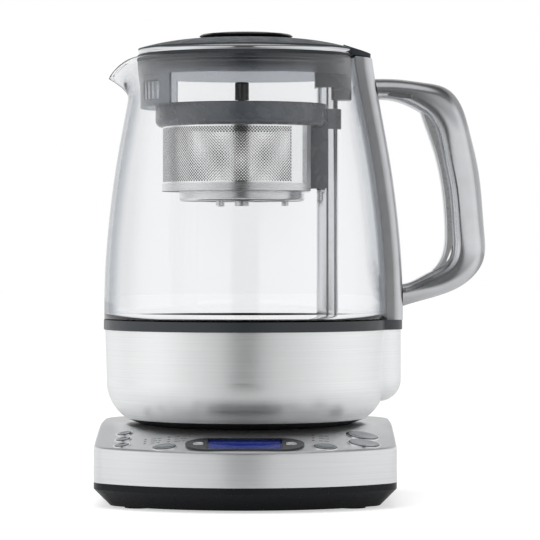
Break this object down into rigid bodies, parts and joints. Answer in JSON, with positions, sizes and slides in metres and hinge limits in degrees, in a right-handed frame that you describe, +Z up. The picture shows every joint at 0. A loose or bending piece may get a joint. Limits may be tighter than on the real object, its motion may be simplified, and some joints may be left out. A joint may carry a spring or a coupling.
{
  "type": "automatic tea maker",
  "caption": "Glass jug kettle on a power base with button controls, with a tea basket that a motor lowers and lifts on a post",
  "frame": {"origin": "On the counter, under the middle of the whole machine's bounding box", "axes": "+Z up, +X towards the jug's handle, -Y towards the controls"},
  "size_m": [0.214, 0.188, 0.259],
  "materials": {
    "brushed_steel": "brushed",
    "satin_metal": "satin",
    "polished_metal": "polished",
    "dark_plastic": "satin",
    "black_plastic": "satin",
    "black_gloss": "gloss",
    "smoke_plastic": "translucent",
    "clear_glass": "clear",
    "blue_display": "gloss",
    "black_rubber": "matte",
    "brass": "plain",
    "circuit_board": "satin",
    "aluminium": "plain",
    "magnet": "plain"
  },
  "bodies": {
    "power_base": {"base_tray": "black_plastic", "base_feet": "black_rubber", "base_screws": "polished_metal", "base_cover": "brushed_steel", "base_chassis": "black_plastic", "button_rings": "polished_metal", "lcd_bezel": "dark_plastic", "lcd_window": "blue_display", "lcd_module": "blue_display", "control_board": "circuit_board", "tact_switches": "black_plastic", "connector_base": "black_plastic", "connector_contacts": "brass", "power_board": "circuit_board", "cord_gland": "black_plastic"},
    "jug": {"jug_housing": "brushed_steel", "jug_foot": "black_plastic", "connector_jug": "black_plastic", "jug_collar": "dark_plastic", "jug_screws": "polished_metal", "heater_plate": "brushed_steel", "heat_diffuser": "aluminium", "heating_element": "aluminium", "temperature_sensor": "brass", "glass_vessel": "clear_glass", "glass_seal": "black_rubber", "lift_post": "polished_metal", "post_cap": "black_plastic", "motor_bracket": "black_plastic", "lift_motor": "polished_metal", "handle_spine": "satin_metal", "handle_grip": "satin_metal", "handle_insert": "polished_metal", "handle_screws": "polished_metal"},
    "screw": {"lift_screw": "polished_metal"},
    "carriage": {"lift_carriage": "black_plastic", "carriage_magnets": "magnet"},
    "basket": {"basket_rim": "dark_plastic", "basket_magnet": "magnet", "basket_mesh": "brushed_steel", "basket_floor": "brushed_steel"},
    "basket_cap": {"basket_lid": "dark_plastic", "basket_knob": "black_gloss"},
    "jug_lid": {"lid_dome": "dark_plastic", "lid_ring": "polished_metal", "lid_seal": "black_rubber", "lid_grip": "black_gloss", "lid_skirt": "smoke_plastic", "post_guide": "dark_plastic", "spout_filter": "smoke_plastic"},
    "preset_button_1": {"preset_button_1": "dark_plastic"},
    "preset_button_2": {"preset_button_2": "dark_plastic"},
    "preset_button_3": {"preset_button_3": "dark_plastic"},
    "select_button_left": {"select_button_left": "dark_plastic"},
    "select_button_right": {"select_button_right": "dark_plastic"},
    "start_button_upper": {"start_button_upper": "dark_plastic"},
    "start_button_lower": {"start_button_lower": "dark_plastic"},
    "minus_button": {"minus_button": "polished_metal"},
    "plus_button": {"plus_button": "polished_metal"}
  },
  "joints": [
    {"name": "jug_lift", "type": "slide", "parent": "power_base", "child": "jug", "axis": [0, 0, 1], "range_m": [0, 0.04]},
    {"name": "lid_lift", "type": "slide", "parent": "jug", "child": "jug_lid", "axis": [0, 0, 1], "range_m": [0, 0.06]},
    {"name": "basket_travel", "type": "slide", "parent": "jug", "child": "basket", "axis": [0, 0, 1], "range_m": [-0.058, 0]},
    {"name": "carriage_travel", "type": "slide", "parent": "jug", "child": "carriage", "axis": [0, 0, 1], "range_m": [-0.058, 0]},
    {"name": "screw_spin", "type": "hinge", "parent": "jug", "child": "screw", "pos_m": [0.01995, 0.01, 0.15], "axis": [0, 0, 1], "range_deg": [-2611, 0]},
    {"name": "basket_lid_lift", "type": "slide", "parent": "basket", "child": "basket_cap", "axis": [0, 0, 1], "range_m": [0, 0.01]},
    {"name": "preset_button_1_press", "type": "slide", "parent": "power_base", "child": "preset_button_1", "axis": [-0.1434, -0.1418, 0.9795], "range_m": [-0.0008, 0], "stiffness_N_per_m": 1200},
    {"name": "preset_button_2_press", "type": "slide", "parent": "power_base", "child": "preset_button_2", "axis": [-0.1334, -0.1446, 0.9805], "range_m": [-0.0008, 0], "stiffness_N_per_m": 1200},
    {"name": "preset_button_3_press", "type": "slide", "parent": "power_base", "child": "preset_button_3", "axis": [-0.1248, -0.1469, 0.9812], "range_m": [-0.0008, 0], "stiffness_N_per_m": 1200},
    {"name": "select_button_left_press", "type": "slide", "parent": "power_base", "child": "select_button_left", "axis": [-0.0729, -0.1576, 0.9848], "range_m": [-0.0008, 0], "stiffness_N_per_m": 1200},
    {"name": "select_button_right_press", "type": "slide", "parent": "power_base", "child": "select_button_right", "axis": [0.0729, -0.1576, 0.9848], "range_m": [-0.0008, 0], "stiffness_N_per_m": 1200},
    {"name": "start_button_upper_press", "type": "slide", "parent": "power_base", "child": "start_button_upper", "axis": [0.1327, -0.1448, 0.9805], "range_m": [-0.0008, 0], "stiffness_N_per_m": 1200},
    {"name": "start_button_lower_press", "type": "slide", "parent": "power_base", "child": "start_button_lower", "axis": [0.1215, -0.1477, 0.9815], "range_m": [-0.0008, 0], "stiffness_N_per_m": 1200},
    {"name": "minus_button_press", "type": "slide", "parent": "power_base", "child": "minus_button", "axis": [0, -0.1633, 0.9866], "range_m": [-0.0008, 0], "stiffness_N_per_m": 1200},
    {"name": "plus_button_press", "type": "slide", "parent": "power_base", "child": "plus_button", "axis": [0, -0.1633, 0.9866], "range_m": [-0.0008, 0], "stiffness_N_per_m": 1200}
  ],
  "couplings": [
    {"joint": "carriage_travel", "follows": "basket_travel", "ratio": 1},
    {"joint": "screw_spin", "follows": "basket_travel", "rad_per_m": 785.4}
  ]
}
